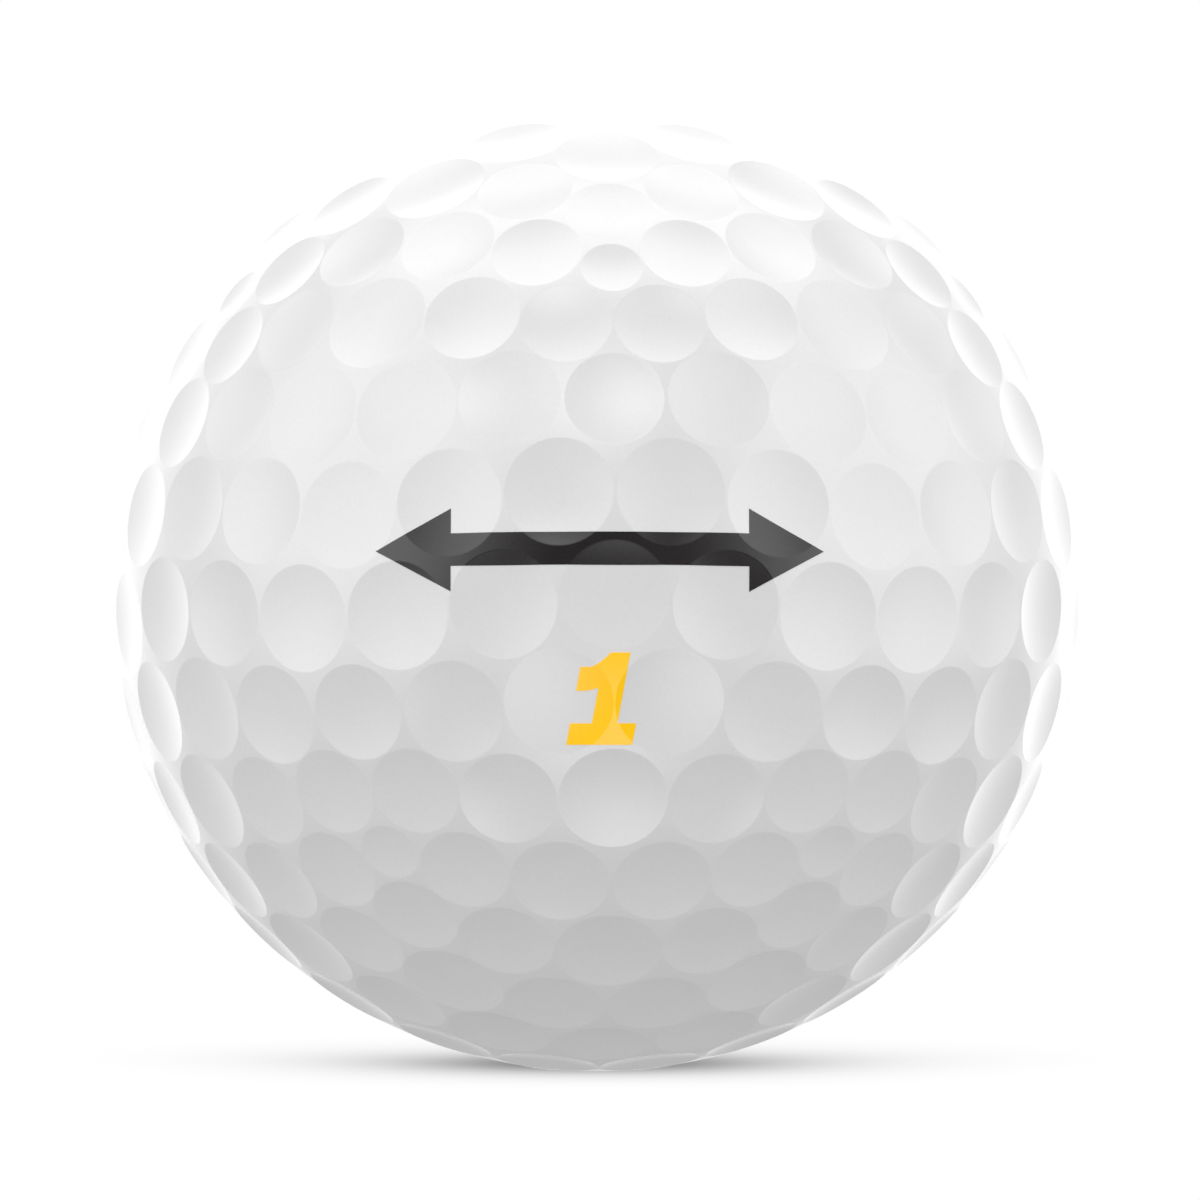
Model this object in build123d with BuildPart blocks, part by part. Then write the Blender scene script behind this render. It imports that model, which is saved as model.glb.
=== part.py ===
from build123d import *

import math
import os

# A solid-core golf ball. Millimetres and degrees, +Z up, origin at the ball's centre.
# The poles of the dimple pattern are on Z, and the printed front faces -Y.

# Driving dimensions.
BALL_DIAMETER = 42.67
CORE_DIAMETER = 39.0
DIMPLE_DIAMETER = {"large": 4.35, "medium": 4.15, "standard": 3.96, "small": 3.72, "tiny": 2.52}
EDGE_ANGLE = 14.0  # between a dimple's wall and the ball's round surface, at the rim
LAND = 0.12  # narrowest strip between two dimples, as an angle at the centre
SECTORS = 6
PATTERN_TURN = 1.6  # the dimples' mirror plane, turned from the middle of the print

# One row for each dimple that isn't a copy of another, counted from the equator to a pole:
# its latitude, its turn from the middle of its sector, and its size.
DIMPLES = [
    (4.5, 0.0, "large"),
    (5.5, 12.0, "large"),
    (6.5, 24.0, "large"),
    (16.0, 6.0, "large"),
    (17.0, 18.0, "medium"),
    (17.0, 30.0, "standard"),
    (27.0, 0.0, "large"),
    (27.0, 12.5, "standard"),
    (26.0, 24.5, "small"),
    (37.5, 7.0, "standard"),
    (36.0, 20.0, "small"),
    (33.5, 30.0, "tiny"),
    (48.0, 0.0, "large"),
    (46.5, 16.5, "standard"),
    (42.5, 30.0, "small"),
    (58.0, 11.0, "medium"),
    (53.5, 30.0, "large"),
    (69.0, 0.0, "medium"),
    (65.5, 30.0, "large"),
    (78.0, 30.0, "large"),
    (90.0, 0.0, "large"),
]
SETTLING_PASSES = 60
PUSH = 0.45  # share of a lack of land that one dimple makes up in one pass
NEIGHBOUR_ANGLE = 18.0  # dimples further apart than this don't touch

# Printed ink: an alignment mark on the equator and a play number below it.
INK = 0.03
PRINT_FLOOR = 18.0  # the print's outline is cut from here, inside the ball, outwards
PRINT_REACH = 35.0  # angle from the middle of the print that holds every printed dimple
MARK_LENGTH = 17.8
MARK_HEIGHT = 3.3
MARK_MIDDLE = 0.15
ARROWHEAD_LENGTH = 3.0
BAR_HEIGHT = 1.3
NUMERAL_HEIGHT = 3.6
NUMERAL_MIDDLE = 0.3
NUMERAL_FOOT = -7.54
NUMERAL_WIDTH = 2.6
NUMERAL_SLANT = 10.4

BALL_RADIUS = BALL_DIAMETER / 2
CORE_RADIUS = CORE_DIAMETER / 2
SECTOR_ANGLE = 360 / SECTORS
CUT_CLEARANCE = 0.014  # a dimple's cutter runs this far past its rim, under half the land
CUT_HEIGHT = 0.3  # and stands this far out of the ball


def direction(latitude, azimuth):
    """The unit vector to a place on the ball; azimuth 0 is -Y and turns towards +X."""
    up = math.radians(latitude)
    around = math.radians(azimuth)
    flat = math.cos(up)
    return (flat * math.sin(around), -flat * math.cos(around), math.sin(up))


def angular_radius(size):
    """The angle at the ball's centre from a dimple's middle to its rim."""
    return math.degrees(math.asin(DIMPLE_DIAMETER[size] / BALL_DIAMETER))


def copies(latitude, turn):
    """The places of one listed dimple: mirrored in each sector, the halves half a sector apart."""
    if latitude == 90:
        return [(-90, 0.0), (90, 0.0)]
    places = set()
    for sector in range(SECTORS):
        for side in (-1, 1):
            azimuth = sector * SECTOR_ANGLE + side * turn
            places.add((-latitude, round(azimuth, 6) % 360))
            places.add((latitude, round(azimuth + SECTOR_ANGLE / 2, 6) % 360))
    return sorted(places)


def push_apart(dimple, placed):
    """How far north and east a dimple moves to win back the land that it lacks."""
    latitude, turn, size = dimple
    here = direction(-latitude, turn)
    east = direction(0, turn + 90)
    north = direction(90 - latitude, turn)
    move_north = 0.0
    move_east = 0.0
    for there, radius in placed:
        cosine = sum(a * b for a, b in zip(here, there))
        if cosine > 0.99999 or cosine < math.cos(math.radians(NEIGHBOUR_ANGLE)):
            continue
        lack = LAND + radius + angular_radius(size) - math.degrees(math.acos(cosine))
        if lack <= 0:
            continue
        to_east = sum(a * b for a, b in zip(east, there))
        to_north = sum(a * b for a, b in zip(north, there))
        reach = math.hypot(to_east, to_north)
        move_east -= PUSH * lack * to_east / reach
        move_north -= PUSH * lack * to_north / reach
    return move_north, move_east


def settle(dimples):
    """Moves the listed dimples apart, a little at a time, until all have their land."""
    for _ in range(SETTLING_PASSES):
        placed = [
            (direction(*place), angular_radius(size))
            for latitude, turn, size in dimples
            for place in copies(latitude, turn)
        ]
        moved = []
        for latitude, turn, size in dimples:
            if latitude == 90:
                moved.append((latitude, turn, size))
                continue
            north, east = push_apart((latitude, turn, size), placed)
            east_angle = east / math.cos(math.radians(latitude))
            moved.append((latitude - north, turn + east_angle, size))
        dimples = moved
    return dimples


def dimple_places(dimples, size, reach=180.0):
    """A location for each dimple of one size within reach of -Y, its Z pointing outwards."""
    locations = []
    for latitude, turn, listed_size in dimples:
        if listed_size != size:
            continue
        for up, azimuth in copies(latitude, turn):
            outwards = direction(up, azimuth + PATTERN_TURN)
            if math.degrees(math.acos(-outwards[1])) <= reach:
                locations.append(Plane(origin=(0, 0, 0), z_dir=outwards).location)
    return locations


def cutter_shape(size, raised):
    """The hollow sphere's middle and radius, and its rim's radius, with its wall raised."""
    rim = DIMPLE_DIAMETER[size] / 2
    wall_angle = math.radians(EDGE_ANGLE - angular_radius(size))
    hollow = rim / math.sin(wall_angle)
    middle = math.sqrt(BALL_RADIUS**2 - rim**2) + hollow * math.cos(wall_angle)
    hollow = hollow - raised
    ball = BALL_RADIUS + raised
    rim_height = (middle**2 + ball**2 - hollow**2) / (2 * middle)
    return middle, hollow, math.sqrt(ball**2 - rim_height**2)


def dimple_cutter(size, raised=0.0):
    """A plug with a spherical end that cuts one dimple on Z, or one dimple under ink."""
    middle, hollow, rim = cutter_shape(size, raised)
    edge = rim + CUT_CLEARANCE
    tip = (0, middle - hollow)
    halfway = (edge / 2, middle - math.sqrt(hollow**2 - edge**2 / 4))
    edge_low = (edge, middle - math.sqrt(hollow**2 - edge**2))
    edge_high = (edge, BALL_RADIUS + CUT_HEIGHT)
    with BuildPart() as cutter:
        with BuildSketch(Plane.XZ):
            with BuildLine():
                ThreePointArc(tip, halfway, edge_low)
                Polyline(edge_low, edge_high, (0, edge_high[1]), tip)
            make_face()
        revolve(axis=Axis.Z)
    return cutter.part


layout = settle(DIMPLES)

# The whole ball's outer form, solid right through, with every dimple cut.
with BuildPart() as dimpled_ball:
    Sphere(BALL_RADIUS)
    for dimple_size in DIMPLE_DIAMETER:
        with Locations(*dimple_places(layout, dimple_size)):
            add(dimple_cutter(dimple_size), mode=Mode.SUBTRACT)

# The same form round the print, one ink thickness further out.
with BuildPart() as ink_surface:
    Sphere(BALL_RADIUS + INK)
    for dimple_size in DIMPLE_DIAMETER:
        printed_places = dimple_places(layout, dimple_size, PRINT_REACH)
        if printed_places:
            with Locations(*printed_places):
                add(dimple_cutter(dimple_size, INK), mode=Mode.SUBTRACT)

# Core: a solid ball of cured rubber.
with BuildPart() as core:
    Sphere(CORE_RADIUS)

# Cover: the moulded shell around the core, with the dimples in its outer face.
with BuildPart() as cover:
    add(dimpled_ball.part)
    Sphere(CORE_RADIUS, mode=Mode.SUBTRACT)

# Front alignment mark: a level bar between two arrowheads, a film of ink that follows the
# cover down into each dimple and up over each land.
with BuildPart() as front_alignment_mark:
    with BuildSketch(Plane.XZ.offset(PRINT_FLOOR)):
        with Locations((0, MARK_MIDDLE)):
            Rectangle(MARK_LENGTH - ARROWHEAD_LENGTH, BAR_HEIGHT)
        tip_x = MARK_LENGTH / 2
        head_x = tip_x - ARROWHEAD_LENGTH
        head_low = MARK_MIDDLE - MARK_HEIGHT / 2
        head_high = MARK_MIDDLE + MARK_HEIGHT / 2
        for side in (-1, 1):
            with BuildLine():
                Polyline(
                    (side * head_x, head_low),
                    (side * tip_x, MARK_MIDDLE),
                    (side * head_x, head_high),
                    close=True,
                )
            make_face()
    extrude(amount=BALL_RADIUS - PRINT_FLOOR + 1)
    add(ink_surface.part, mode=Mode.INTERSECT)
    add(dimpled_ball.part, mode=Mode.SUBTRACT)

# The play number's outline: a slab foot, an upright stem and a flag, in the numeral's
# own width from 0 to NUMERAL_WIDTH and heights from 0 to NUMERAL_HEIGHT.
FOOT_HEIGHT = 0.84
STEM_LEFT = 0.86
STEM_WIDTH = 1.0
FLAG_LOW = 2.12
FLAG_HIGH = 3.04
FLAG_TURN = 0.42  # the flag is level out to here, and then rises to the stem
STEM_TOP_LEFT = 1.1


def numeral_point(x, z):
    """A point of the upright numeral, slanted and set under the alignment mark."""
    lean = math.tan(math.radians(NUMERAL_SLANT))
    centred = x - NUMERAL_WIDTH / 2 + (z - NUMERAL_HEIGHT / 2) * lean
    return (NUMERAL_MIDDLE + centred, NUMERAL_FOOT + z)


# Front play number: the numeral 1, a film of ink like the mark.
with BuildPart() as front_play_number:
    with BuildSketch(Plane.XZ.offset(PRINT_FLOOR)):
        with BuildLine():
            stem_right = STEM_LEFT + STEM_WIDTH
            rise = numeral_point(FLAG_TURN, FLAG_HIGH)
            rise_middle = numeral_point(0.86, 3.24)
            stem_top = numeral_point(STEM_TOP_LEFT, NUMERAL_HEIGHT)
            Polyline(
                stem_top,
                numeral_point(stem_right, NUMERAL_HEIGHT),
                numeral_point(stem_right, FOOT_HEIGHT),
                numeral_point(NUMERAL_WIDTH, FOOT_HEIGHT),
                numeral_point(NUMERAL_WIDTH, 0),
                numeral_point(0, 0),
                numeral_point(0, FOOT_HEIGHT),
                numeral_point(STEM_LEFT, FOOT_HEIGHT),
                numeral_point(STEM_LEFT, FLAG_LOW + 0.1),
                numeral_point(FLAG_TURN, FLAG_LOW),
                numeral_point(0, FLAG_LOW),
                numeral_point(0, FLAG_HIGH),
                rise,
            )
            ThreePointArc(rise, rise_middle, stem_top)
        make_face()
    extrude(amount=BALL_RADIUS - PRINT_FLOOR + 1)
    add(ink_surface.part, mode=Mode.INTERSECT)
    add(dimpled_ball.part, mode=Mode.SUBTRACT)

# The back carries the same print, half a turn round the ball, where the dimples repeat.
with BuildPart() as rear_alignment_mark:
    add(front_alignment_mark.part, rotation=(0, 0, 180))

with BuildPart() as rear_play_number:
    add(front_play_number.part, rotation=(0, 0, 180))

core.part.label = "core"
cover.part.label = "cover"
front_alignment_mark.part.label = "front_alignment_mark"
front_play_number.part.label = "front_play_number"
rear_alignment_mark.part.label = "rear_alignment_mark"
rear_play_number.part.label = "rear_play_number"

os.makedirs("parts", exist_ok=True)
export_step(core.part, "parts/core.step")
export_step(cover.part, "parts/cover.step")
export_step(front_alignment_mark.part, "parts/front_alignment_mark.step")
export_step(front_play_number.part, "parts/front_play_number.step")
export_step(rear_alignment_mark.part, "parts/rear_alignment_mark.step")
export_step(rear_play_number.part, "parts/rear_play_number.step")
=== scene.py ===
import math

import bmesh
import bpy
import numpy as np
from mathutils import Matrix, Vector
from mathutils.geometry import delaunay_2d_cdt


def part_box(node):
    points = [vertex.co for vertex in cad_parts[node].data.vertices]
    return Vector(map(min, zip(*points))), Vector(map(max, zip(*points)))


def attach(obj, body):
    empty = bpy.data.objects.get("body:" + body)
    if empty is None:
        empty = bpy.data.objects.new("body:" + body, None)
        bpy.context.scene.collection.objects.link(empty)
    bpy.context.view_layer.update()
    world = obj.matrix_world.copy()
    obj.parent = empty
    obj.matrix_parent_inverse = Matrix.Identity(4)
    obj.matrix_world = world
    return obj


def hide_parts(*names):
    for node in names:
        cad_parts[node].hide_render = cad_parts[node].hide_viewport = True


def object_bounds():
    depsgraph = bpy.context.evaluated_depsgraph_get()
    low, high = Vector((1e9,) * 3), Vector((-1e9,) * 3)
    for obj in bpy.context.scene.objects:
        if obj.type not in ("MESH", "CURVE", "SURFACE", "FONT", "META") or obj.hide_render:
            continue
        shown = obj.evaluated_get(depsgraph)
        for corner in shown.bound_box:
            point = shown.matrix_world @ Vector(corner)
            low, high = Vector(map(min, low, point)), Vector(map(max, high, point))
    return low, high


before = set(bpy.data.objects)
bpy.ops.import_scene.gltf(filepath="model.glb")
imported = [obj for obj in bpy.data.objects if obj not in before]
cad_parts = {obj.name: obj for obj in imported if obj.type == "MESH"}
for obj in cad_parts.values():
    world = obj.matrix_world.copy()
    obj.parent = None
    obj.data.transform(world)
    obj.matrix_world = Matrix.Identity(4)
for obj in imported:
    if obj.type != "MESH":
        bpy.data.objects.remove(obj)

CAD_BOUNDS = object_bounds()
MM = 0.001

# ---------------------------------------------------------------- sizes, in mm and degrees
BALL_RADIUS = 42.67 / 2
CORE_RADIUS = (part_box("core")[1].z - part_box("core")[0].z) / 2 / MM

# The dimples: their diameters, the wall's angle at the rim, the least land between two of them in
# degrees, and one of each kind in a sector: degrees below the equator, degrees from the sector's
# middle line, and size.
DIMPLE_DIAMETER = {"large": 4.35, "medium": 4.15, "standard": 3.96, "small": 3.72, "tiny": 2.52}
EDGE_ANGLE = 14.0
LAND = 0.12
SECTORS = 6
PATTERN_TURN = 1.6
DIMPLES = [
    (4.5, 0.0, "large"), (5.5, 12.0, "large"), (6.5, 24.0, "large"),
    (16.0, 6.0, "large"), (17.0, 18.0, "medium"), (17.0, 30.0, "standard"),
    (27.0, 0.0, "large"), (27.0, 12.5, "standard"), (26.0, 24.5, "small"),
    (37.5, 7.0, "standard"), (36.0, 20.0, "small"), (33.5, 30.0, "tiny"),
    (48.0, 0.0, "large"), (46.5, 16.5, "standard"), (42.5, 30.0, "small"),
    (58.0, 11.0, "medium"), (53.5, 30.0, "large"),
    (69.0, 0.0, "medium"), (65.5, 30.0, "large"),
    (78.0, 30.0, "large"), (90.0, 0.0, "large"),
]

# How the listed dimples are moved apart: the passes, the share of its lack of land that a dimple
# gains in one pass, and how near in degrees a place is the dimple itself.
SETTLING_PASSES = 60
PUSH = 0.45
SAME_PLACE = 0.3

# How the paint eases a dimple's rim: it starts this far out on the land and ends this far
# down the wall.
EASE_OUT = 0.014
EASE_IN = 0.085

# The mesh of the cover: points round a rim, steps across its eased band, and the rings inside that
# band, each a share of its radius and how many times fewer points it has.
SEGMENTS = 48
EASE_STEPS = 3
WALL_RINGS = [(0.66, 2), (0.33, 4)]
LAND_POINTS = 20000
LAND_POINT_GAP = 0.16
GOLDEN_ANGLE = math.pi * (3 - math.sqrt(5))
MERGE_GAP = 1e-9
CAVITY_CLEARANCE = 0.02
CAVITY_SUBDIVISIONS = 5

# The print: an alignment mark on the equator and a play number below it, in each case the
# middle of its outline and its size. Ink stands this far out of the paint and goes this far in.
INK_OUT = 0.016
INK_IN = 0.012
CUT_TOLERANCE = 1e-6
MARK_LENGTH = 17.8
MARK_HEIGHT = 3.3
MARK_MIDDLE = 0.15
ARROWHEAD_LENGTH = 3.0
BAR_HEIGHT = 1.3
NUMERAL_HEIGHT = 3.6
NUMERAL_WIDTH = 2.6
NUMERAL_MIDDLE = 0.3
NUMERAL_FOOT = -7.54
NUMERAL_SLANT = 10.4
FOOT_HEIGHT = 0.84
STEM_LEFT = 0.86
STEM_RIGHT = 1.86
STEM_TOP_LEFT = 1.1
FLAG_LOW = 2.12
FLAG_HIGH = 3.04
FLAG_LOW_RISE = 0.1
FLAG_TURN = 0.42
FLAG_RISE = 0.075
ARC_STEPS = 10

# The coatings, in mm: a high gloss with soft clouds in its colour, a fine grain, a changing
# haze and a faint orange peel. Each colour is given where the coating is thin and where it is thick.
COAT_IOR = 1.5
CLOUD_SIZE = 3.2
GRAIN_SIZE = 0.12
SMEAR_SIZE = 1.8
HAZE = (0.08, 0.14)
PEEL_SIZE = 0.7
PEEL_DEPTH = 0.0012
PAINT_WHITE = [(0.853, 0.853, 0.853), (0.883, 0.883, 0.883)]
INK_DARK = [(0.032, 0.029, 0.031), (0.026, 0.0235, 0.025)]
INK_YELLOW = [(1.0, 0.715, 0.002), (1.0, 0.675, 0.0)]

# Plain paint can't be as bright a yellow in this light, so that ink gives off a little orange too.
YELLOW_GLOW = {"Emission Color": (1.0, 0.16, 0.0, 1.0), "Emission Strength": 0.24}

# The core's rubber, sizes in mm: mottled, with specks of filler, a changing sheen and a grainy skin.
MOTTLE_SIZE = 2.5
RUBBER_LIGHT = (0.055, 0.125, 0.195)
RUBBER_DARK = (0.030, 0.075, 0.130)
SPECK_SPACING = 0.625
SPECK_EDGE = (0.10, 0.22)
SPECK_COLOUR = (0.012, 0.022, 0.035)
SHEEN_SIZE = 1.0
RUBBER_ROUGHNESS = (0.62, 0.82)
SKIN_SIZE = 0.35
SKIN_DEPTH = 0.02
SKIN_STRENGTH = 0.6

# The studio, in two sets of lights. The gloss reflects the softboxes: azimuth, elevation, half the
# width, half the height and the half-width of the soft edge, all in degrees, and the radiance; the
# backdrop's is 1. It also reflects the walls, broad glows with an azimuth, elevation and radiance.
# The paint under the gloss is lit by the diffused light alone, more such glows.
SOFTBOXES = [
    (-60, 17, 32, 32, 20, 2.5),  # large, left
    (68, 15, 32, 32, 20, 2.45),  # large, right
    (185, 90, 36, 20, 16, 3.4),  # overhead
    (-140, 12, 20, 28, 22, 1.5),  # behind, left
    (142, 9, 20, 28, 22, 1.5),  # behind, right
    (182, 48, 24, 14, 12, 2.1),  # high behind
    (180, 15, 15, 20, 10, 0.7),  # the backdrop's middle
    (180, -8, 35, 8, 10, 0.35),  # low behind
    (0, -38, 16, 16, 14, 2.2),  # low in front
    (-4, 40, 11, 11, 11, 3.4),  # high in front
]
REFLECTED_WALLS = [
    (180, 0, 0.33),  # behind
    (0, -90, 0.4),  # below
]
DIFFUSED_LIGHT = [
    (-76, 25, 1.14),  # left
    (75, 24, 1.08),  # right
    (180, 0, 0.77),  # behind
    (0, -40, 0.33),  # low in front
]

# The floor's reach in metres, its brightness in the open, and the ball's soft shadow, painted into
# the floor's glow by a formula round the origin in two parts: how far the light it is painted for
# leans towards the front in degrees, how deep the painted shadow is, and how fast it fades.
FLOOR_REACH = 5.0
FLOOR_WHITE = 1.01
PAINTED_FLOOR_SHADOWS = [(60, 1.9, 3.5), (8, 0.5, 4.0)]

# The camera: lens and sensor in mm, nearest thing it sees and distance in m, its place round the
# ball in degrees, and how far beside the ball's middle it aims, in mm.
CAMERA_LENS = 128.8
SENSOR_WIDTH = 36.0
CLIP_START = 0.01
CAMERA_DISTANCE = 0.190
CAMERA_ELEVATION = -3.68
CAMERA_AZIMUTH = -0.5
AIM_RIGHT = 0.198
AIM_UP = -0.590


# ---------------------------------------------------------------- the dimples' places
def direction(latitude, azimuth):
    """Unit vectors to places on the ball; azimuth 0 is -Y and turns towards +X."""
    up, around = np.radians(latitude), np.radians(azimuth)
    return np.stack(
        [np.cos(up) * np.sin(around), -np.cos(up) * np.cos(around), np.sin(up) + 0 * around], -1
    )


def angular_radius(size):
    return math.degrees(math.asin(DIMPLE_DIAMETER[size] / 2 / BALL_RADIUS))


def copies(latitude, turn):
    """The places of one listed dimple: mirrored in each sector, the halves half a sector apart."""
    if latitude == 90:
        return [(-90, 0.0), (90, 0.0)]
    sector_angle = 360 / SECTORS
    places = set()
    for sector in range(SECTORS):
        for side in (-1, 1):
            azimuth = sector * sector_angle + side * turn
            places.add((-latitude, round(azimuth, 6) % 360))
            places.add((latitude, round(azimuth + sector_angle / 2, 6) % 360))
    return sorted(places)


def settle(dimples):
    """Moves the listed dimples apart, a little at a time, until all have their land."""
    for _ in range(SETTLING_PASSES):
        places = []
        for latitude, turn, size in dimples:
            places += [(*place, angular_radius(size)) for place in copies(latitude, turn)]
        up, azimuth, radii = np.array(places).T
        there = direction(up, azimuth)
        moved = []
        for latitude, turn, size in dimples:
            if latitude == 90:
                moved.append((latitude, turn, size))
                continue
            gap = np.degrees(np.arccos(np.clip(there @ direction(-latitude, turn), -1, 1)))
            lack = LAND + radii + angular_radius(size) - gap
            near = (lack > 0) & (gap > SAME_PLACE)
            to_east = there[near] @ direction(0.0, turn + 90)
            to_north = there[near] @ direction(90.0 - latitude, turn)
            pull = PUSH * lack[near] / np.hypot(to_east, to_north)
            east = -np.sum(pull * to_east) / math.cos(math.radians(latitude))
            moved.append((latitude + np.sum(pull * to_north), turn + east, size))
        dimples = moved
    return dimples


def dimple_list():
    """Every dimple as its unit direction and its size."""
    found = []
    for latitude, turn, size in settle(DIMPLES):
        for up, azimuth in copies(latitude, turn):
            found.append((direction(up, azimuth + PATTERN_TURN), size))
    return found


# ---------------------------------------------------------------- one dimple's section
def hollow_sphere(size):
    """The rim's radius, and the middle and the radius of the sphere that the dimple is cut by."""
    rim = DIMPLE_DIAMETER[size] / 2
    wall_angle = math.radians(EDGE_ANGLE - angular_radius(size))
    hollow = rim / math.sin(wall_angle)
    middle = math.sqrt(BALL_RADIUS**2 - rim**2) + hollow * math.cos(wall_angle)
    return rim, middle, hollow


def section(size):
    """The section from the land inwards, the eased rim and then the wall: point, normal, count."""
    rim, middle, hollow = hollow_sphere(size)
    outer = rim + EASE_OUT
    inner = rim - EASE_IN
    start = np.array([outer, math.sqrt(BALL_RADIUS**2 - outer**2)])
    end = np.array([inner, middle - math.sqrt(hollow**2 - inner**2)])
    start_normal = start / BALL_RADIUS
    end_normal = (np.array([0, middle]) - end) / hollow
    start_tangent = np.array([-start_normal[1], start_normal[0]])
    end_tangent = np.array([-end_normal[1], end_normal[0]])
    span = np.linalg.solve(np.stack([start_tangent, -end_tangent], 1), end - start)
    corner = start + span[0] * start_tangent
    rows = []
    for step in range(EASE_STEPS + 1):
        t = step / EASE_STEPS
        point = (1 - t) ** 2 * start + 2 * t * (1 - t) * corner + t**2 * end
        along = (1 - t) * (corner - start) + t * (end - corner)
        normal = np.array([along[1], -along[0]]) / np.linalg.norm(along)
        rows.append((point, normal * np.sign(normal[1]), SEGMENTS))
    for share, fewer in WALL_RINGS:
        r = inner * share
        point = np.array([r, middle - math.sqrt(hollow**2 - r**2)])
        rows.append((point, (np.array([0, middle]) - point) / hollow, SEGMENTS // fewer))
    return rows, middle - hollow


def across(axis):
    """Two unit vectors square to axis and to each other."""
    near_pole = abs(axis[2]) >= 0.9
    side = np.cross(axis, (1, 0, 0) if near_pole else (0, 0, 1))
    side = side / np.linalg.norm(side)
    return side, np.cross(axis, side)


class ShellMesh:
    """Vertices, their normals and faces, gathered piece by piece."""

    def __init__(self):
        self.points, self.normals, self.faces = [], [], []
        self.count = 0

    def ring(self, points, normals):
        start = self.count
        self.points.append(points)
        self.normals.append(normals)
        self.count += len(points)
        return start

    def band(self, outer, outer_count, inner, inner_count):
        """Joins two rings; the inner one has as many points, or half as many."""
        step = outer_count // inner_count
        for i in range(inner_count):
            a, b = inner + i, inner + (i + 1) % inner_count
            first = outer + i * step
            if step == 1:
                self.faces.append((first, outer + (i + 1) % outer_count, b, a))
                continue
            second, third = first + 1, outer + (i * step + 2) % outer_count
            self.faces += [(first, second, a), (second, b, a), (second, third, b)]


def add_dimple(mesh, axis, size):
    """Adds one dimple, and returns its outermost ring, where the land begins."""
    side, other = across(axis)
    rows, depth = section(size)
    last = None
    for (r, z), (normal_r, normal_z), count in rows:
        turns = np.arange(count) * 2 * math.pi / count
        spokes = np.outer(np.cos(turns), side) + np.outer(np.sin(turns), other)
        start = mesh.ring(r * spokes + z * axis, normal_r * spokes + normal_z * axis)
        if last is None:
            outermost = np.arange(start, start + count)
        else:
            mesh.band(*last, start, count)
        last = (start, count)
    centre = mesh.ring((depth * axis)[None], axis[None])
    for i in range(last[1]):
        mesh.faces.append((last[0] + i, last[0] + (i + 1) % last[1], centre))
    return outermost


def land_points(dimples):
    """Points spread over the wider stretches of land, clear of every rim."""
    index = np.arange(LAND_POINTS) + 0.5
    z = 1 - 2 * index / LAND_POINTS
    turn = index * GOLDEN_ANGLE
    flat = np.sqrt(1 - z**2)
    everywhere = np.stack([flat * np.cos(turn), flat * np.sin(turn), z], 1)
    clear = np.ones(LAND_POINTS, bool)
    for axis, size in dimples:
        reach = math.radians(angular_radius(size)) + LAND_POINT_GAP / BALL_RADIUS
        clear &= everywhere @ axis < math.cos(reach)
    return everywhere[clear]


def add_land(mesh, rings, dimples):
    """Fills the land between the rims, on the ball's round surface, with triangles found on a plane."""
    extra = land_points(dimples)
    first = mesh.ring(extra * BALL_RADIUS, extra)
    points = np.concatenate(mesh.points) / BALL_RADIUS
    chosen = np.concatenate([*rings, np.arange(first, first + len(extra))])
    owner = [np.full(len(ring), number) for number, ring in enumerate(rings)]
    owner = np.concatenate([*owner, np.full(len(extra), -1)])
    p = points[chosen]
    flat = p[:, :2] / (1 + p[:, 2:])
    edges, start = [], 0
    for ring in rings:
        n = len(ring)
        edges += [(start + i, start + (i + 1) % n) for i in range(n)]
        start += n
    verts = [Vector(v) for v in flat]
    _, _, faces, origin, _, _ = delaunay_2d_cdt(verts, edges, [], 0, MERGE_GAP)
    source = [o[0] for o in origin]
    for face in faces:
        corners = [source[v] for v in face]
        owners = {int(owner[c]) for c in corners}
        if len(owners) == 1 and owners != {-1}:
            continue
        ids = [int(chosen[c]) for c in corners]
        a, b, c = (points[i] for i in ids)
        if np.dot(np.cross(b - a, c - a), a) < 0:
            ids.reverse()
        mesh.faces.append(tuple(ids))


def add_cavity(mesh):
    """The cover's inner wall, which the core fills."""
    inner = bmesh.new()
    radius = CORE_RADIUS + CAVITY_CLEARANCE
    bmesh.ops.create_icosphere(inner, subdivisions=CAVITY_SUBDIVISIONS, radius=radius)
    points = np.array([v.co for v in inner.verts])
    start = mesh.ring(points, -points / radius)
    mesh.faces += [tuple(start + v.index for v in reversed(face.verts)) for face in inner.faces]
    inner.free()


def make_object(name, points, faces, corner_normals):
    """A smooth mesh object from points in mm; corner_normals has one for each face corner."""
    data = bpy.data.meshes.new(name)
    data.from_pydata((points * MM).tolist(), [], faces)
    data.polygons.foreach_set("use_smooth", [True] * len(data.polygons))
    data.normals_split_custom_set(corner_normals.tolist())
    data.update()
    piece = bpy.data.objects.new(name, data)
    bpy.context.scene.collection.objects.link(piece)
    return piece


def flatten(faces):
    return [v for face in faces for v in face]


# ---------------------------------------------------------------- the print
def mark_outline():
    """The alignment mark's corners (x, z): a level bar between two arrowheads."""
    tip = MARK_LENGTH / 2
    head = tip - ARROWHEAD_LENGTH
    bar, barb = BAR_HEIGHT / 2, MARK_HEIGHT / 2
    right = [(head, -bar), (head, -barb), (tip, 0), (head, barb), (head, bar)]
    left = [(-x, -z) for x, z in right]
    return [(x, MARK_MIDDLE + z) for x, z in right + left]


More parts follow.
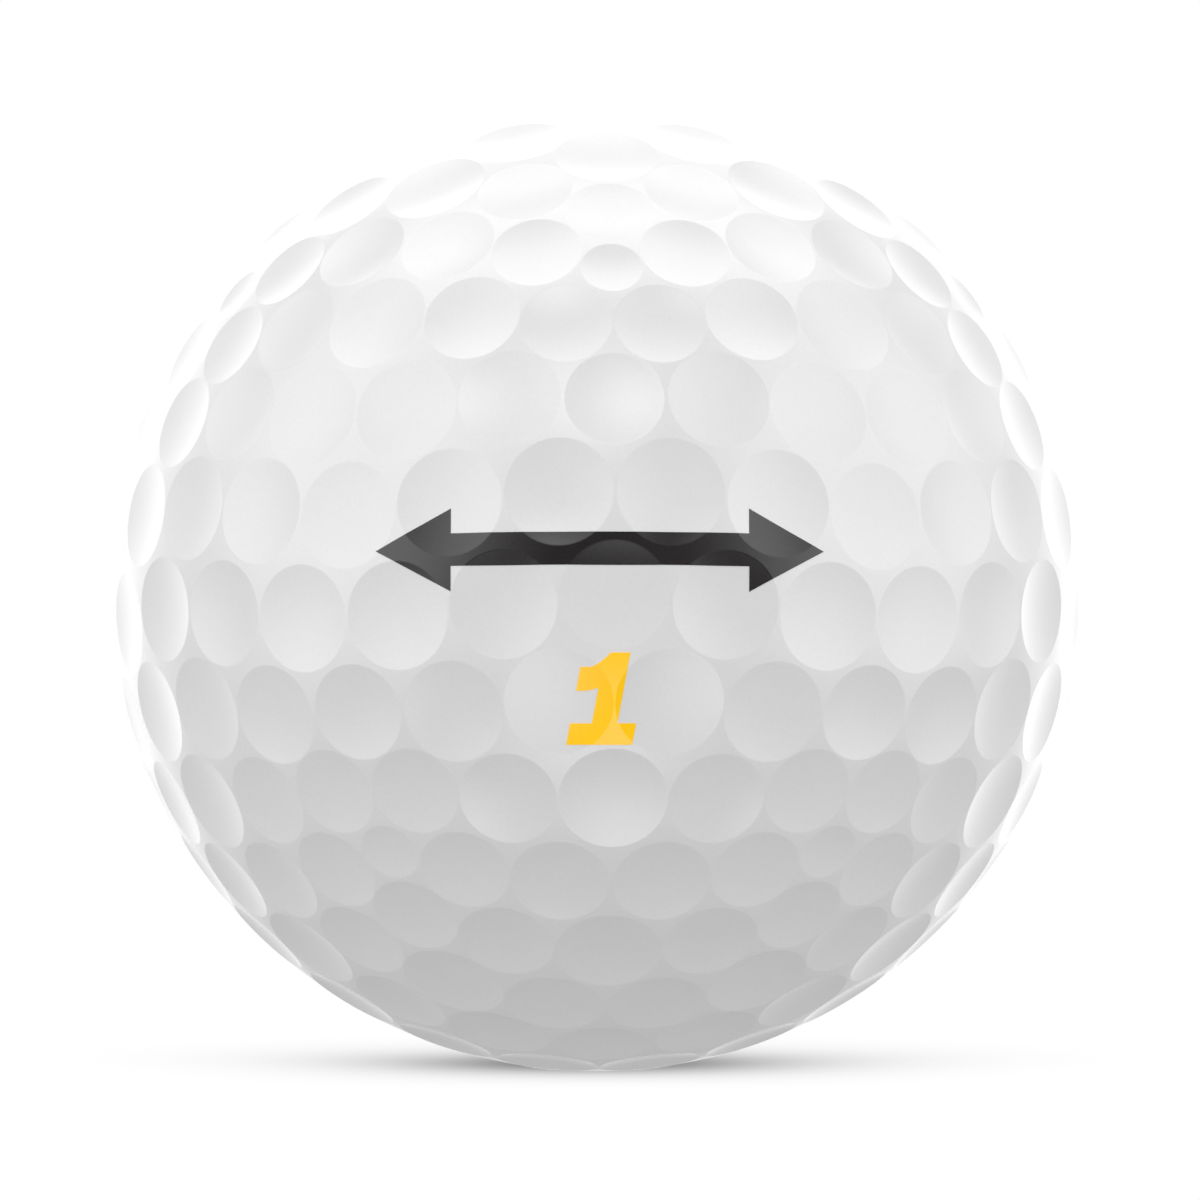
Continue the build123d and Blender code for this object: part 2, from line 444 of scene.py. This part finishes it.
def numeral_outline():
    """The numeral 1: a slab foot, a stem and a flag that sweeps up to the stem's top."""
    sweep = []
    for step in range(1, ARC_STEPS):
        t = step / ARC_STEPS
        x = FLAG_TURN + t * (STEM_TOP_LEFT - FLAG_TURN)
        z = FLAG_HIGH + t * (NUMERAL_HEIGHT - FLAG_HIGH) - 4 * FLAG_RISE * t * (1 - t)
        sweep.append((x, z))
    upright = [
        (STEM_TOP_LEFT, NUMERAL_HEIGHT),
        (STEM_RIGHT, NUMERAL_HEIGHT),
        (STEM_RIGHT, FOOT_HEIGHT),
        (NUMERAL_WIDTH, FOOT_HEIGHT),
        (NUMERAL_WIDTH, 0),
        (0, 0),
        (0, FOOT_HEIGHT),
        (STEM_LEFT, FOOT_HEIGHT),
        (STEM_LEFT, FLAG_LOW + FLAG_LOW_RISE),
        (FLAG_TURN, FLAG_LOW),
        (0, FLAG_LOW),
        (0, FLAG_HIGH),
        (FLAG_TURN, FLAG_HIGH),
        *sweep,
    ]
    lean = math.tan(math.radians(NUMERAL_SLANT))
    left = NUMERAL_MIDDLE - NUMERAL_WIDTH / 2
    return [(left + x + (z - NUMERAL_HEIGHT / 2) * lean, NUMERAL_FOOT + z) for x, z in upright]


def inside(outline, x, z):
    """True if the point (x, z) lies inside the outline."""
    crossings = 0
    for (x1, z1), (x2, z2) in zip(outline, outline[1:] + outline[:1]):
        if (z1 > z) != (z2 > z) and x < x1 + (z - z1) / (z2 - z1) * (x2 - x1):
            crossings += 1
    return crossings % 2 == 1


def printed_patch(points, normals, faces, outline):
    """The cover's front surface inside an outline, cut along it, as points, normals and faces."""
    low = np.min(outline, 0) - 1
    high = np.max(outline, 0) + 1
    flat = points[:, [0, 2]]
    near = (points[:, 1] < 0) & np.all((flat > low) & (flat < high), 1)
    patch = bmesh.new()
    normal_layer = patch.verts.layers.float_vector.new("cover_normal")
    made = {}
    for face in faces:
        if not near[list(face)].all():
            continue
        for v in face:
            if v not in made:
                made[v] = patch.verts.new(points[v])
                made[v][normal_layer] = normals[v]
        patch.faces.new([made[v] for v in face])
    for (x1, z1), (x2, z2) in zip(outline, outline[1:] + outline[:1]):
        bmesh.ops.bisect_plane(
            patch,
            geom=[*patch.verts, *patch.edges, *patch.faces],
            dist=CUT_TOLERANCE,
            plane_co=(x1, 0, z1),
            plane_no=(z2 - z1, 0, x1 - x2),
        )
    outside = []
    for face in patch.faces:
        middle = face.calc_center_median()
        if not inside(outline, middle.x, middle.z):
            outside.append(face)
    bmesh.ops.delete(patch, geom=outside, context="FACES")
    bmesh.ops.triangulate(patch, faces=patch.faces)
    patch.verts.index_update()
    found = np.array([v.co for v in patch.verts])
    there = np.array([v[normal_layer] for v in patch.verts])
    kept = [tuple(v.index for v in face.verts) for face in patch.faces]
    patch.free()
    return found, there / np.linalg.norm(there, axis=1)[:, None], kept


def make_film(name, patch, turn):
    """A closed film of ink over a patch of the cover, turned this many degrees about Z."""
    points, normals, faces = patch
    count = len(points)
    top = points + INK_OUT * normals
    bottom = points - INK_IN * normals
    one_way = {(face[i], face[i - 2]) for face in faces for i in range(3)}
    rim = [(a, b) for a, b in one_way if (b, a) not in one_way]
    rim.sort()
    under = [tuple(count + v for v in reversed(face)) for face in faces]
    sides = [(b, a, count + a, count + b) for a, b in rim]
    corner_normals = [*normals[flatten(faces)], *-normals[flatten(under) - np.array(count)]]
    for a, b in rim:
        outwards = np.cross(points[b] - points[a], normals[a])
        corner_normals += [outwards / np.linalg.norm(outwards)] * 4
    c, s = math.cos(math.radians(turn)), math.sin(math.radians(turn))
    spin = np.array([[c, -s, 0], [s, c, 0], [0, 0, 1]])
    film_points = np.concatenate([top, bottom]) @ spin.T
    return make_object(name, film_points, faces + under + sides, np.array(corner_normals) @ spin.T)


# ---------------------------------------------------------------- materials
def add_node(tree, kind, inputs=(), **settings):
    """A shader node with its settings; inputs maps its sockets to values or to other sockets."""
    made = tree.nodes.new("ShaderNode" + kind)
    for name, value in settings.items():
        setattr(made, name, value)
    for key, value in dict(inputs).items():
        if isinstance(value, bpy.types.NodeSocket):
            tree.links.new(value, made.inputs[key])
        else:
            made.inputs[key].default_value = value
    return made


def math_node(tree, operation, one, other=0.0):
    return add_node(tree, "Math", {0: one, 1: other}, operation=operation).outputs["Value"]


def dot(tree, one, other):
    return add_node(tree, "VectorMath", {0: one, 1: other}, operation="DOT_PRODUCT").outputs["Value"]


def noise(tree, place, size, detail, roughness=0.5):
    """Cloudy noise from 0 to 1 with blotches of this size in mm."""
    inputs = {"Vector": place, "Scale": 1 / size, "Detail": detail, "Roughness": roughness}
    return add_node(tree, "TexNoise", inputs).outputs["Fac"]


def spread(tree, value, low, high, lowest=0.3, highest=0.7):
    """A value stretched to the span from low to high; noise usually lies between 0.3 and 0.7."""
    inputs = {"Value": value, "From Min": lowest, "From Max": highest, "To Min": low, "To Max": high}
    return add_node(tree, "MapRange", inputs).outputs["Result"]


def start_material(name, **uniform):
    """A new material with its shader, and the object's coordinates in mm."""
    material = bpy.data.materials.new(name)
    material.use_nodes = True
    tree = material.node_tree
    shader = tree.nodes["Principled BSDF"]
    for socket, value in uniform.items():
        shader.inputs[socket].default_value = value
    where = add_node(tree, "TexCoord").outputs["Object"]
    place = add_node(tree, "VectorMath", {0: where, "Scale": 1 / MM}, operation="SCALE")
    return material, tree, shader, place.outputs["Vector"]


def colour_between(tree, share, one, other):
    mix = add_node(tree, "Mix", {"Factor": share, "A": one, "B": other}, data_type="RGBA")
    return mix.outputs["Result"]


def add_bump(tree, shader, height, depth, strength):
    """Bumps of this depth in mm on the shader's surface."""
    bump = add_node(tree, "Bump", {"Strength": strength, "Distance": depth * MM, "Height": height})
    tree.links.new(bump.outputs["Normal"], shader.inputs["Normal"])


def glossy_coating(name, thin, thick, **uniform):
    """Paint or ink with a high gloss: cloudy in colour, with a faint orange peel in its shine."""
    material, tree, shader, place = start_material(name, IOR=COAT_IOR, **uniform)
    clouds = noise(tree, place, CLOUD_SIZE, detail=3.0)
    grain = noise(tree, place, GRAIN_SIZE, detail=1.0)
    share = spread(tree, math_node(tree, "ADD", clouds, grain), 0, 1, lowest=0.7, highest=1.3)
    colour = colour_between(tree, share, (*thin, 1), (*thick, 1))
    tree.links.new(colour, shader.inputs["Base Color"])
    smear = noise(tree, place, SMEAR_SIZE, detail=3.0)
    tree.links.new(spread(tree, smear, *HAZE), shader.inputs["Roughness"])
    add_bump(tree, shader, noise(tree, place, PEEL_SIZE, detail=1.0), PEEL_DEPTH, strength=1.0)
    return material


def core_rubber():
    """Cured rubber: matt, mottled, with darker specks of filler and a grainy skin."""
    material, tree, shader, place = start_material("core_rubber")
    mottle = spread(tree, noise(tree, place, MOTTLE_SIZE, detail=4.0, roughness=0.6), 0, 1)
    base = colour_between(tree, mottle, (*RUBBER_DARK, 1), (*RUBBER_LIGHT, 1))
    specks = add_node(tree, "TexVoronoi", {"Vector": place, "Scale": 1 / SPECK_SPACING})
    speck = spread(tree, specks.outputs["Distance"], 1, 0, *SPECK_EDGE)
    colour = colour_between(tree, speck, base, (*SPECK_COLOUR, 1))
    tree.links.new(colour, shader.inputs["Base Color"])
    sheen = spread(tree, noise(tree, place, SHEEN_SIZE, detail=3.0), *RUBBER_ROUGHNESS)
    tree.links.new(sheen, shader.inputs["Roughness"])
    skin = noise(tree, place, SKIN_SIZE, detail=4.0, roughness=0.65)
    add_bump(tree, shader, skin, SKIN_DEPTH, SKIN_STRENGTH)
    return material


# ---------------------------------------------------------------- stage, light and camera
def make_floor():
    """A plain white floor, with the ball's shadow painted into its glow. It sends the ball no light,
    and the camera sees through it from below.
    """
    data = bpy.data.meshes.new("floor")
    square = [(-1, -1), (1, -1), (1, 1), (-1, 1)]
    corners = [(x * FLOOR_REACH, y * FLOOR_REACH, CAD_BOUNDS[0].z) for x, y in square]
    data.from_pydata(corners, [], [(0, 1, 2, 3)])
    floor = bpy.data.objects.new("floor", data)
    bpy.context.scene.collection.objects.link(floor)
    floor.visible_diffuse = False
    floor.visible_glossy = False
    floor.visible_shadow = False
    material = bpy.data.materials.new("floor_white_painted_shadow")
    material.use_nodes = True
    tree = material.node_tree
    tree.nodes.clear()
    geometry = add_node(tree, "NewGeometry")
    place = geometry.outputs["Position"]
    distance = add_node(tree, "VectorMath", {0: place}, operation="LENGTH").outputs["Value"]
    width = math_node(tree, "DIVIDE", BALL_RADIUS * MM, distance)
    painted_shadow_brightness = FLOOR_WHITE
    # The ball's shadow is painted: a formula darkens the floor's glow round the contact, in two parts.
    for lean, depth, fade in PAINTED_FLOOR_SHADOWS:
        fall = dot(tree, place, -direction(90 - lean, 0))
        facing = math_node(tree, "MAXIMUM", math_node(tree, "DIVIDE", fall, distance), 0.0)
        hidden = math_node(tree, "MULTIPLY", facing, math_node(tree, "MULTIPLY", width, width))
        painted_shade = math_node(tree, "MULTIPLY", math_node(tree, "POWER", hidden, fade), depth)
        painted_shadow_brightness = math_node(tree, "SUBTRACT", painted_shadow_brightness, painted_shade)
    lit = add_node(tree, "Emission", {"Strength": painted_shadow_brightness}).outputs["Emission"]
    clear = add_node(tree, "BsdfTransparent").outputs["BSDF"]
    mix = add_node(tree, "MixShader", {"Fac": geometry.outputs["Backfacing"], 1: lit, 2: clear})
    add_node(tree, "OutputMaterial", {"Surface": mix.outputs["Shader"]}, is_active_output=True)
    data.materials.append(material)


def softbox(tree, look, azimuth, elevation, half_width, half_height, soft, radiance):
    """One softbox as the ball sees it: a rectangle of light with a soft edge."""
    towards = direction(elevation, azimuth)
    right = direction(0, azimuth + 90)
    up = np.cross(right, towards)
    ahead = dot(tree, look, towards)
    light = radiance
    for axis, half in ((right, half_width), (up, half_height)):
        beside = math_node(tree, "ABSOLUTE", dot(tree, look, axis))
        inputs = {
            "Value": math_node(tree, "ARCTAN2", beside, ahead),
            "From Min": math.radians(half + soft),
            "From Max": math.radians(half - soft),
        }
        edge = add_node(tree, "MapRange", inputs, interpolation_type="SMOOTHSTEP").outputs["Result"]
        light = math_node(tree, "MULTIPLY", light, edge)
    return light


def background(tree, colour):
    return add_node(tree, "Background", {"Color": colour}).outputs["Background"]


def total(tree, parts):
    whole = parts[0]
    for part in parts[1:]:
        whole = math_node(tree, "ADD", whole, part)
    return whole


def glow(tree, look, azimuth, elevation, radiance):
    """Light from half of the room, strongest in one direction."""
    share = dot(tree, look, direction(elevation, azimuth))
    return math_node(tree, "MULTIPLY", math_node(tree, "MAXIMUM", share, 0.0), radiance)


def make_world():
    """A plain studio: softboxes for the gloss, diffused light for the paint, white for the camera."""
    world = bpy.data.worlds.new("studio")
    world.use_nodes = True
    # The world isn't sampled as a lamp, because such a sample doesn't say which kind of ray it is for.
    world.cycles.sampling_method = "NONE"
    bpy.context.scene.world = world
    tree = world.node_tree
    look = add_node(tree, "TexCoord").outputs["Generated"]
    reflected = [softbox(tree, look, *box) for box in SOFTBOXES]
    reflected += [glow(tree, look, *wall) for wall in REFLECTED_WALLS]
    diffused = [glow(tree, look, *light) for light in DIFFUSED_LIGHT]
    ray = add_node(tree, "LightPath").outputs
    shine = background(tree, total(tree, reflected))
    soft = background(tree, total(tree, diffused))
    white = background(tree, (1, 1, 1, 1))
    lights = add_node(tree, "MixShader", {"Fac": ray["Is Diffuse Ray"], 1: shine, 2: soft})
    lit = lights.outputs["Shader"]
    seen = add_node(tree, "MixShader", {"Fac": ray["Is Camera Ray"], 1: lit, 2: white})
    tree.links.new(seen.outputs["Shader"], tree.nodes["World Output"].inputs["Surface"])


def make_camera():
    """A long lens a little below the ball's middle, nearly level, with the print in front."""
    camera = bpy.data.objects.new("camera", bpy.data.cameras.new("camera"))
    bpy.context.scene.collection.objects.link(camera)
    camera.data.lens = CAMERA_LENS
    camera.data.sensor_width = SENSOR_WIDTH
    camera.data.clip_start = CLIP_START
    towards = Vector(direction(CAMERA_ELEVATION, CAMERA_AZIMUTH))
    right = Vector(direction(0, CAMERA_AZIMUTH + 90))
    up = right.cross(-towards)
    camera.location = towards * CAMERA_DISTANCE
    aim = (right * AIM_RIGHT + up * AIM_UP) * MM
    camera.rotation_mode = "QUATERNION"
    camera.rotation_quaternion = (aim - camera.location).to_track_quat("-Z", "Y")
    bpy.context.scene.camera = camera


# ---------------------------------------------------------------- the ball
dimples = dimple_list()
shell = ShellMesh()
rims = [add_dimple(shell, axis, size) for axis, size in dimples]
add_land(shell, rims, dimples)
outer_faces = list(shell.faces)
add_cavity(shell)
shell_points = np.concatenate(shell.points)
shell_normals = np.concatenate(shell.normals)

cover = make_object("cover_shell", shell_points, shell.faces, shell_normals[flatten(shell.faces)])
cover.data.materials.append(glossy_coating("cover_white", *PAINT_WHITE))
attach(cover, "root")
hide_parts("cover")

dark_ink = glossy_coating("ink_dark", *INK_DARK)
yellow_ink = glossy_coating("ink_yellow", *INK_YELLOW, **YELLOW_GLOW)
PRINTS = [
    ("alignment_mark", mark_outline(), dark_ink, "ink_dark"),
    ("play_number", numeral_outline(), yellow_ink, "ink_yellow"),
]
for print_name, outline, ink, ink_slot in PRINTS:
    patch = printed_patch(shell_points, shell_normals, outer_faces, outline)
    for side, turn in (("front", 0), ("rear", 180)):
        film = make_film(f"{side}_{print_name}_ink", patch, turn)
        film.data.materials.append(ink)
        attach(film, "root")
        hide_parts(f"{side}_{print_name}")

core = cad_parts["core"]
core.data.materials.clear()
core.data.materials.append(core_rubber())

make_floor()
make_world()
make_camera()
bpy.context.scene.view_settings.view_transform = "Standard"
